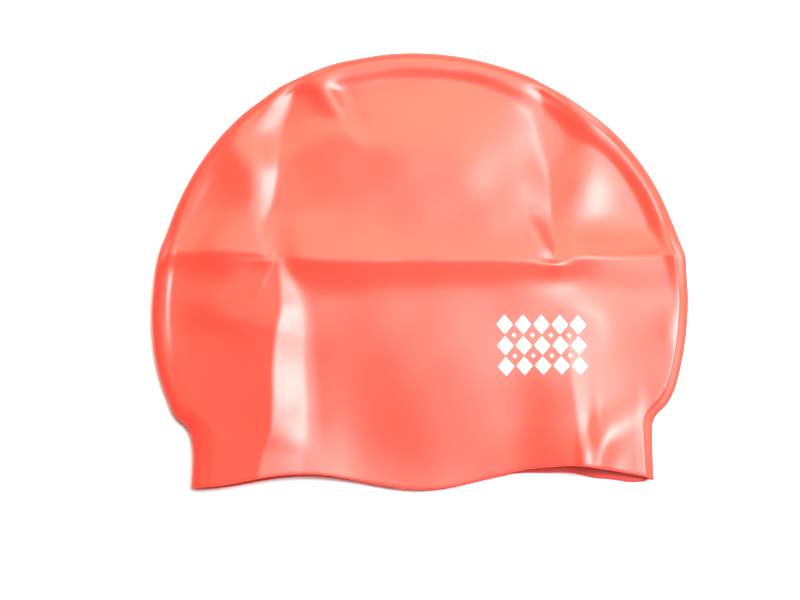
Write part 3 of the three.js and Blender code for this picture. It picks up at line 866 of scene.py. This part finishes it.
class CapSizes(bpy.types.PropertyGroup):
    """The sizes of the cap"""
    width: bpy.props.FloatProperty(
        name="Width", description="Across the cheeks, the widest place",
        default=0.225, min=0.18, max=0.26, unit="LENGTH")
    wall: bpy.props.FloatProperty(
        name="Wall", description="Thickness of the silicone",
        default=0.001, min=0.0005, max=0.002, unit="LENGTH")
    rim_height: bpy.props.FloatProperty(
        name="Rim Height", description="Height of the rounded bend over both walls",
        default=0.0052, min=0.003, max=0.008, unit="LENGTH")
    middle_height: bpy.props.FloatProperty(
        name="Middle Height", description="Height of the upper face between its folds",
        default=0.0084, min=0.004, max=0.02, unit="LENGTH")
    layer_gap: bpy.props.FloatProperty(
        name="Layer Gap", description="Least air between the two faces",
        default=0.0009, min=0.0, max=0.003, unit="LENGTH")


class CapFinish(bpy.types.PropertyGroup):
    """The colours and the gloss of the silicone and of the print"""
    silicone: bpy.props.FloatVectorProperty(
        name="Silicone", description="Colour of the silicone",
        subtype="COLOR", size=3, min=0, max=1, default=(0.85, 0.046, 0.031))
    # Painted warm light: a warmer red that the cloud noise mixes into the silicone at random.
    silicone_warm_light: bpy.props.FloatVectorProperty(
        name="Warm Tint", description="Warmer red mixed in at random, as painted warm light",
        subtype="COLOR", size=3, min=0, max=1, default=(0.87, 0.058, 0.033))
    gloss: bpy.props.FloatProperty(
        name="Roughness", description="Roughness of the silicone",
        default=0.34, min=0.1, max=0.8, subtype="FACTOR")
    print_ink: bpy.props.FloatVectorProperty(
        name="Print", description="Colour of the printed patch",
        subtype="COLOR", size=3, min=0, max=1, default=(0.9, 0.88, 0.87))
    print_roughness: bpy.props.FloatProperty(
        name="Print Roughness", description="Roughness of the printed patch",
        default=0.5, min=0.1, max=1, subtype="FACTOR")


class StudioSettings(bpy.types.PropertyGroup):
    """The camera, the lights and the floor"""
    elevation: bpy.props.FloatProperty(
        name="Camera Elevation", description="How steeply the camera looks down",
        default=math.radians(78), subtype="ANGLE")
    distance: bpy.props.FloatProperty(
        name="Camera Distance", description="From the camera to the middle of the cap",
        default=1.2, min=0.5, unit="LENGTH")
    view_width: bpy.props.FloatProperty(
        name="View Width", description="How much of the floor the picture shows across",
        default=0.3364, min=0.1, unit="LENGTH")
    sky: bpy.props.FloatProperty(
        name="Sky", description="Strength of the white light from all round",
        default=0.2, min=0)
    key: bpy.props.FloatProperty(
        name="Key Light", description="Power of the large soft lamp on the right",
        default=35.0, min=0)
    overhead: bpy.props.FloatProperty(
        name="Overhead Light", description="Power of the wide dim lamp above the cap",
        default=20.0, min=0)
    back: bpy.props.FloatProperty(
        name="Back Light", description="Power of the broad soft lamp behind the crown",
        default=18.5, min=0)
    floor: bpy.props.FloatVectorProperty(
        name="Floor", description="Colour of the floor",
        subtype="COLOR", size=3, min=0, max=1, default=(0.92, 0.92, 0.92))


def plain_material(name, colour, roughness):
    """A material of one even colour."""
    material = bpy.data.materials.new(name)
    material.use_nodes = True
    shader = material.node_tree.nodes["Principled BSDF"]
    shader.inputs["Base Color"].default_value = (*colour, 1)
    shader.inputs["Roughness"].default_value = roughness
    return material


def silicone_material(finish):
    """Dyed silicone: glossy rubber, its colour clouded at random with painted warm light, and a
    faint mottle in its gloss and skin.
    """
    material = bpy.data.materials.new("silicone")
    material.use_nodes = True
    nodes, links = material.node_tree.nodes, material.node_tree.links
    nodes.clear()
    output = nodes.new("ShaderNodeOutputMaterial")
    shader = nodes.new("ShaderNodeBsdfPrincipled")
    links.new(shader.outputs["BSDF"], output.inputs["Surface"])
    shader.inputs["IOR"].default_value = SILICONE_IOR
    where = nodes.new("ShaderNodeTexCoord")

    def noise(scale, detail):
        texture = nodes.new("ShaderNodeTexNoise")
        texture.inputs["Scale"].default_value = scale
        texture.inputs["Detail"].default_value = detail
        links.new(where.outputs["Object"], texture.inputs["Vector"])
        return texture.outputs["Fac"]

    # Painted warm light: the cloud noise mixes a warmer red into the silicone's colour at random.
    warm_light_tint = nodes.new("ShaderNodeMix")
    warm_light_tint.data_type = "RGBA"
    warm_light_tint.inputs["A"].default_value = (*finish.silicone, 1)
    warm_light_tint.inputs["B"].default_value = (*finish.silicone_warm_light, 1)
    links.new(noise(**WARM_LIGHT_CLOUD), warm_light_tint.inputs["Factor"])
    links.new(warm_light_tint.outputs["Result"], shader.inputs["Base Color"])

    mottle = noise(**MOTTLE)
    gloss = nodes.new("ShaderNodeMapRange")
    gloss.inputs["To Min"].default_value = finish.gloss - GLOSS_SPREAD
    gloss.inputs["To Max"].default_value = finish.gloss + GLOSS_SPREAD
    links.new(mottle, gloss.inputs["Value"])
    links.new(gloss.outputs["Result"], shader.inputs["Roughness"])

    skin = nodes.new("ShaderNodeBump")
    skin.inputs["Strength"].default_value = BUMP_STRENGTH
    skin.inputs["Distance"].default_value = BUMP_HEIGHT
    links.new(mottle, skin.inputs["Height"])
    links.new(skin.outputs["Normal"], shader.inputs["Normal"])
    return material


class OBJECT_OT_cap_skin(bpy.types.Operator):
    """Build the cap's moulded skin in place of the plain solid"""
    bl_idname = "object.cap_skin"
    bl_label = "Cap Skin"
    bl_options = {"REGISTER", "UNDO"}

    def execute(self, context):
        form = CapForm(context.scene.cap_sizes)
        grid = CapGrid(form)
        mesh = join_patches("cap_skin", skin_patches(form, grid))
        skin = add_piece("cap_skin", mesh, silicone_material(context.scene.cap_finish))
        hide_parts("cap_shell")
        return {"FINISHED"}


class OBJECT_OT_cap_print(bpy.types.Operator):
    """Print a plain patch of lozenges on the upper face, with small ones between them"""
    bl_idname = "object.cap_print"
    bl_label = "Cap Print"
    bl_options = {"REGISTER", "UNDO"}

    def execute(self, context):
        form = CapForm(context.scene.cap_sizes)
        middle_x = PRINT_PLACE[0] * form.half_width
        middle_y = PRINT_PLACE[1] * form.half_height
        patches = []
        for columns, rows, size in ((PRINT_COLUMNS, PRINT_ROWS, 1.0),
                                    (PRINT_COLUMNS - 1, PRINT_ROWS - 1, PRINT_SMALL)):
            for column in range(columns):
                for row in range(rows):
                    x = middle_x + (column - (columns - 1) / 2) * PRINT_PITCH[0]
                    y = middle_y + (row - (rows - 1) / 2) * PRINT_PITCH[1]
                    patches += lozenge(form, x, y, size * LOZENGE[0], size * LOZENGE[1])
        mesh = join_patches("cap_print", patches)
        finish = context.scene.cap_finish
        paint = plain_material("print_ink", finish.print_ink, finish.print_roughness)
        ink = add_piece("cap_print", mesh, paint)
        return {"FINISHED"}


class OBJECT_OT_cap_studio(bpy.types.Operator):
    """Set the pale floor, the soft lights and the camera"""
    bl_idname = "object.cap_studio"
    bl_label = "Studio"
    bl_options = {"REGISTER", "UNDO"}

    def execute(self, context):
        studio = context.scene.cap_studio
        self.lay_floor(context, studio)
        self.light_up(context, studio)
        self.aim_camera(context, studio)
        context.scene.view_settings.view_transform = "Standard"
        return {"FINISHED"}

    def lay_floor(self, context, studio):
        """A square of matt paint under the cap."""
        corners = [(FLOOR_HALF * x, FLOOR_HALF * y, 0) for x, y in
                   ((-1, -1), (1, -1), (1, 1), (-1, 1))]
        mesh = bpy.data.meshes.new("floor")
        mesh.from_pydata(corners, [], [(0, 1, 2, 3)])
        floor = bpy.data.objects.new("floor", mesh)
        context.collection.objects.link(floor)
        paint = plain_material("floor_paint", studio.floor, FLOOR_ROUGHNESS)
        shader = paint.node_tree.nodes["Principled BSDF"]
        shader.inputs["Specular IOR Level"].default_value = FLOOR_SPECULAR
        mesh.materials.append(paint)

    def light_up(self, context, studio):
        """The white sky and the lamps, each turned towards the middle of the cap."""
        world = bpy.data.worlds.new("sky")
        world.use_nodes = True
        sky = world.node_tree.nodes["Background"]
        sky.inputs["Color"].default_value = (*WHITE, 1)
        sky.inputs["Strength"].default_value = studio.sky
        context.scene.world = world

        for name, (turn, tilt, width, depth, colour) in LAMPS.items():
            lamp = bpy.data.lights.new(name, "AREA")
            lamp.shape = "RECTANGLE"
            lamp.size, lamp.size_y = width, depth
            lamp.energy = getattr(studio, name)
            lamp.color = colour
            turn, tilt = math.radians(turn), math.radians(tilt)
            away = Vector((math.sin(tilt) * math.cos(turn), math.sin(tilt) * math.sin(turn),
                           math.cos(tilt)))
            light = bpy.data.objects.new(name, lamp)
            light.location = away * LAMP_DISTANCE
            light.rotation_euler = away.to_track_quat("Z", "Y").to_euler()
            context.collection.objects.link(light)

    def aim_camera(self, context, studio):
        """A camera in front of the mouth, whose lens spans the view's width at its distance."""
        lens = bpy.data.cameras.new("camera")
        lens.sensor_width = SENSOR_WIDTH
        lens.lens = lens.sensor_width * studio.distance / studio.view_width
        lens.clip_start = CLIP_START
        camera = bpy.data.objects.new("camera", lens)
        back = Vector((0, -math.cos(studio.elevation), math.sin(studio.elevation)))
        camera.location = Vector(CAMERA_AIM) + back * studio.distance
        camera.rotation_euler = back.to_track_quat("Z", "Y").to_euler()
        context.collection.objects.link(camera)
        context.scene.camera = camera


class VIEW3D_PT_swim_cap(bpy.types.Panel):
    """The sizes, the finish and the studio, with a button for each part of the scene"""
    bl_idname = "VIEW3D_PT_swim_cap"
    bl_label = "Swim Cap"
    bl_space_type = "VIEW_3D"
    bl_region_type = "UI"
    bl_category = "Swim Cap"

    def draw(self, context):
        for group in ("cap_sizes", "cap_finish", "cap_studio"):
            settings = getattr(context.scene, group)
            box = self.layout.box()
            for name in settings.bl_rna.properties.keys():
                if name not in ("rna_type", "name"):
                    box.prop(settings, name)
        self.layout.operator("object.cap_skin")
        self.layout.operator("object.cap_print")
        self.layout.operator("object.cap_studio")


CLASSES = (CapSizes, CapFinish, StudioSettings, OBJECT_OT_cap_skin, OBJECT_OT_cap_print,
           OBJECT_OT_cap_studio, VIEW3D_PT_swim_cap)


def register():
    for cls in CLASSES:
        bpy.utils.register_class(cls)
    bpy.types.Scene.cap_sizes = bpy.props.PointerProperty(type=CapSizes)
    bpy.types.Scene.cap_finish = bpy.props.PointerProperty(type=CapFinish)
    bpy.types.Scene.cap_studio = bpy.props.PointerProperty(type=StudioSettings)


def unregister():
    for name in ("cap_sizes", "cap_finish", "cap_studio"):
        delattr(bpy.types.Scene, name)
    for cls in reversed(CLASSES):
        bpy.utils.unregister_class(cls)


def main():
    """Build the whole scene."""
    register()
    bpy.ops.object.cap_skin()
    bpy.ops.object.cap_print()
    bpy.ops.object.cap_studio()


if __name__ == "__main__":
    main()
